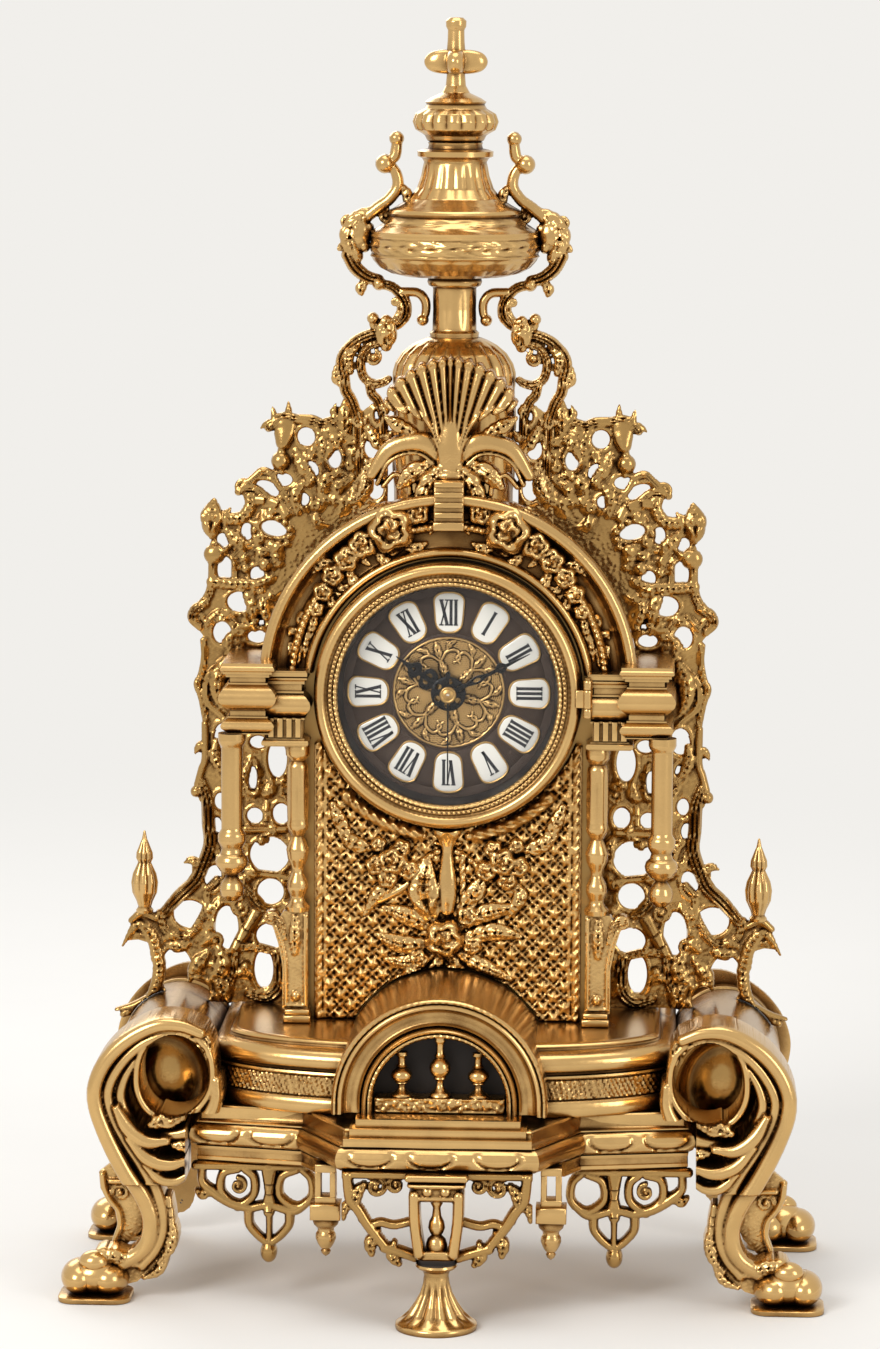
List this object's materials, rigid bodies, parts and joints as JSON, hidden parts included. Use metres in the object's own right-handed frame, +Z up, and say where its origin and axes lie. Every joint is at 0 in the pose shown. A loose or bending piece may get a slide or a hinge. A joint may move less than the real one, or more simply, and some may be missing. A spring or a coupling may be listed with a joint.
{
  "type": "table clock",
  "caption": "Ornate cast brass mantel clock with an arched case, a glazed round dial, pierced side wings, a covered urn on top and scrolled feet.",
  "frame": {"origin": "on the floor, at the middle of the clock's width and depth", "axes": "+X to the right as seen from the front, +Y to the back, +Z up; the dial faces -Y"},
  "size_m": [0.33, 0.181, 0.55],
  "materials": {
    "cast_brass": "polished raised work over a brown patina in the hollows",
    "gilt_brass": "bright gilt",
    "dark_sheet": "dull dark lacquer",
    "dark_dial": "dark grained ground with worked foliage",
    "white_enamel": "glossy cream enamel",
    "clear_glass": "clear",
    "steel": "plain turned",
    "spring_steel": "plated",
    "black_hands": "semi-gloss black",
    "black_plastic": "matt",
    "white_plastic": "natural",
    "battery_jacket": "glossy printed sleeve, left plain",
    "circuit_laminate": "green lacquer",
    "copper_winding": "enamelled copper wire, modelled as a solid winding"
  },
  "bodies": {
    "clock_body": {"base_plinth": "cast_brass", "niche_arch": "cast_brass", "niche_grille": "cast_brass", "front_leg_right": "cast_brass", "front_leg_left": "cast_brass", "rear_legs": "cast_brass", "centre_foot": "cast_brass", "foot_bracket": "cast_brass", "centre_aprons": "cast_brass", "pendants": "cast_brass", "side_aprons": "cast_brass", "case_shell": "cast_brass", "arch_frame": "cast_brass", "front_panel": "cast_brass", "panel_bouquet": "cast_brass", "shoulders": "cast_brass", "pilasters": "cast_brass", "columns": "cast_brass", "lower_wings": "cast_brass", "upper_wings": "cast_brass", "spires": "cast_brass", "garlands": "cast_brass", "crest_shell": "cast_brass", "crest_scrolls": "cast_brass", "urn_pedestal": "cast_brass", "urn_bowl": "cast_brass", "urn_cover": "cast_brass", "urn_handles": "cast_brass", "finial": "cast_brass", "dial_medallion": "gilt_brass", "niche_back": "dark_sheet", "dial_plate": "dark_dial", "numeral_cartouches": "white_enamel", "hinge_pins": "steel", "tie_rod": "steel", "screws": "steel", "fixing_nut": "gilt_brass", "battery_contacts": "spring_steel", "movement_case": "black_plastic", "movement_cover": "black_plastic", "battery": "battery_jacket", "circuit_board": "circuit_laminate", "stator_coil": "copper_winding"},
    "bezel": {"bezel_ring": "cast_brass", "sight_ring": "gilt_brass", "bezel_glass": "clear_glass"},
    "back_door": {"back_door": "cast_brass"},
    "latch": {"door_latch": "cast_brass"},
    "minute_arbor": {"cannon_pinion": "white_plastic", "minute_hand": "black_hands"},
    "hour_arbor": {"hour_wheel": "white_plastic", "hour_hand": "black_hands"},
    "motion_arbor": {"motion_wheel": "white_plastic"},
    "setting_arbor": {"set_knob": "black_plastic"},
    "second_arbor": {"seconds_wheel": "white_plastic", "second_hand": "black_hands"},
    "third_arbor": {"third_wheel": "white_plastic"},
    "step_arbor": {"step_wheel": "white_plastic"},
    "rotor_arbor": {"rotor": "white_plastic"},
    "centre_arbor": {"centre_wheel": "white_plastic"}
  },
  "joints": [
    {"name": "bezel_hinge", "type": "hinge", "parent": "clock_body", "child": "bezel", "pos_m": [0.0606, -0.0026, 0.2596], "axis": [0, 0, 1], "range_deg": [0, 95]},
    {"name": "back_door_hinge", "type": "hinge", "parent": "clock_body", "child": "back_door", "pos_m": [0.0535, 0.087, 0.2596], "axis": [0, 0, -1], "range_deg": [0, 110]},
    {"name": "latch_turn", "type": "hinge", "parent": "clock_body", "child": "latch", "pos_m": [-0.054, 0.0875, 0.2596], "axis": [0, 1, 0], "range_deg": [0, 90]},
    {"name": "minute_spin", "type": "hinge", "parent": "clock_body", "child": "minute_arbor", "pos_m": [0, 0.02, 0.2596], "axis": [0, 1, 0], "continuous": true},
    {"name": "hour_spin", "type": "hinge", "parent": "clock_body", "child": "hour_arbor", "pos_m": [0, 0.02, 0.2596], "axis": [0, 1, 0], "continuous": true},
    {"name": "motion_spin", "type": "hinge", "parent": "clock_body", "child": "motion_arbor", "pos_m": [0.012, 0.02, 0.2596], "axis": [0, 1, 0], "continuous": true},
    {"name": "setting_spin", "type": "hinge", "parent": "clock_body", "child": "setting_arbor", "pos_m": [0.01875, 0.02, 0.2713], "axis": [0, 1, 0], "continuous": true},
    {"name": "second_spin", "type": "hinge", "parent": "clock_body", "child": "second_arbor", "pos_m": [0, 0.02, 0.2596], "axis": [0, 1, 0], "continuous": true},
    {"name": "step_spin", "type": "hinge", "parent": "clock_body", "child": "step_arbor", "pos_m": [-0.012, 0.02, 0.2596], "axis": [0, 1, 0], "continuous": true},
    {"name": "rotor_spin", "type": "hinge", "parent": "clock_body", "child": "rotor_arbor", "pos_m": [-0.012, 0.02, 0.27185], "axis": [0, 1, 0], "continuous": true},
    {"name": "third_spin", "type": "hinge", "parent": "clock_body", "child": "third_arbor", "pos_m": [0, 0.02, 0.2715], "axis": [0, 1, 0], "continuous": true},
    {"name": "centre_spin", "type": "hinge", "parent": "clock_body", "child": "centre_arbor", "pos_m": [0, 0.02, 0.2596], "axis": [0, 1, 0], "continuous": true}
  ],
  "couplings": [
    {"joint": "hour_spin", "follows": "minute_spin", "ratio": 0.083333},
    {"joint": "motion_spin", "follows": "minute_spin", "ratio": -0.33333},
    {"joint": "setting_spin", "follows": "minute_spin", "ratio": 0.66667},
    {"joint": "step_spin", "follows": "second_spin", "ratio": -5},
    {"joint": "rotor_spin", "follows": "second_spin", "ratio": 30},
    {"joint": "third_spin", "follows": "second_spin", "ratio": -0.13333},
    {"joint": "centre_spin", "follows": "second_spin", "ratio": 0.016667}
  ]
}
